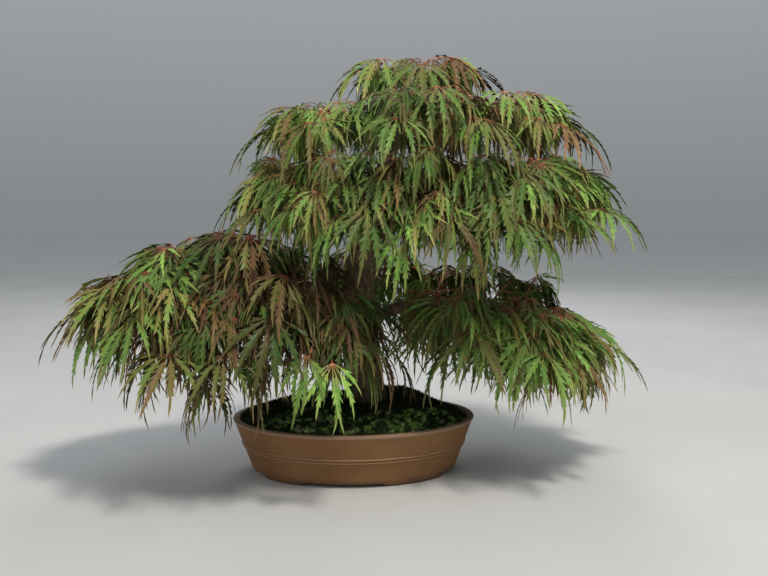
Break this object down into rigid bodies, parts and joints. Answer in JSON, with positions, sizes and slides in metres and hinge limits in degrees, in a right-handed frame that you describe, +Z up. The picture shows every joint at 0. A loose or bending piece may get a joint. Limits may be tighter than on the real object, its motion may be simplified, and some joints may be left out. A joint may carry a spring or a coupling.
{
  "type": "laceleaf japanese maple bonsai",
  "caption": "Informal upright laceleaf maple bonsai with drooping, finely cut leaves, in a wide oval clay pot with a mossy soil mound.",
  "frame": {"origin": "middle of the pot's base, on the surface that the pot stands on", "axes": "+X along the pot's long axis, +Y away from the side that the tree is seen from, +Z up"},
  "size_m": [0.8619, 0.5211, 0.5959],
  "materials": {
    "pot_clay": "matte",
    "drain_mesh": "matte",
    "soil": "matte",
    "moss": "matte",
    "bark": "matte",
    "leaf_olive": "matte",
    "leaf_bright": "matte",
    "leaf_bronze": "matte",
    "leaf_dark": "matte"
  },
  "bodies": {
    "root": {"pot": "pot_clay", "drain_mesh_left": "drain_mesh", "drain_mesh_right": "drain_mesh", "soil": "soil", "moss": "moss", "trunk": "bark", "spray_left_low_1": "leaf_olive", "spray_left_low_2": "leaf_bright", "spray_left_low_3": "leaf_bronze", "spray_left_low_4": "leaf_dark", "spray_left_low_5": "leaf_olive", "spray_left_low_6": "leaf_bright", "spray_left_low_7": "leaf_bronze", "spray_left_low_8": "leaf_dark", "spray_left_low_9": "leaf_olive", "spray_left_low_10": "leaf_bright", "spray_left_low_11": "leaf_bronze", "spray_right_low_1": "leaf_dark", "spray_right_low_2": "leaf_olive", "spray_right_low_3": "leaf_bright", "spray_right_low_4": "leaf_bronze", "spray_right_low_5": "leaf_dark", "spray_right_low_6": "leaf_olive", "spray_right_low_7": "leaf_bright", "spray_front_left_low_1": "leaf_bronze", "spray_front_left_low_2": "leaf_dark", "spray_back_low_1": "leaf_olive", "spray_back_low_2": "leaf_bright", "spray_crown_front_1": "leaf_bronze", "spray_crown_front_2": "leaf_dark", "spray_crown_front_3": "leaf_olive", "spray_crown_back_1": "leaf_bright", "spray_crown_back_2": "leaf_bronze", "spray_crown_back_3": "leaf_dark", "spray_crown_left_1": "leaf_olive", "spray_crown_left_2": "leaf_bright", "spray_crown_left_3": "leaf_bronze", "spray_crown_right_1": "leaf_dark", "spray_crown_right_2": "leaf_olive", "spray_crown_right_3": "leaf_bright", "spray_crown_front_right_1": "leaf_bronze", "spray_crown_front_right_2": "leaf_dark", "spray_crown_back_right_1": "leaf_olive", "spray_crown_back_right_2": "leaf_bright", "spray_upper_left_1": "leaf_bronze", "spray_upper_left_2": "leaf_dark", "spray_upper_left_3": "leaf_olive", "spray_upper_right_1": "leaf_bright", "spray_upper_right_2": "leaf_bronze", "spray_upper_right_3": "leaf_dark", "spray_upper_front_1": "leaf_olive", "spray_upper_front_2": "leaf_bright", "spray_upper_back_1": "leaf_bronze", "spray_upper_back_2": "leaf_dark", "spray_apex_1": "leaf_olive", "spray_apex_2": "leaf_bright", "spray_apex_3": "leaf_bronze", "spray_apex_4": "leaf_dark"}
  },
  "joints": []
}
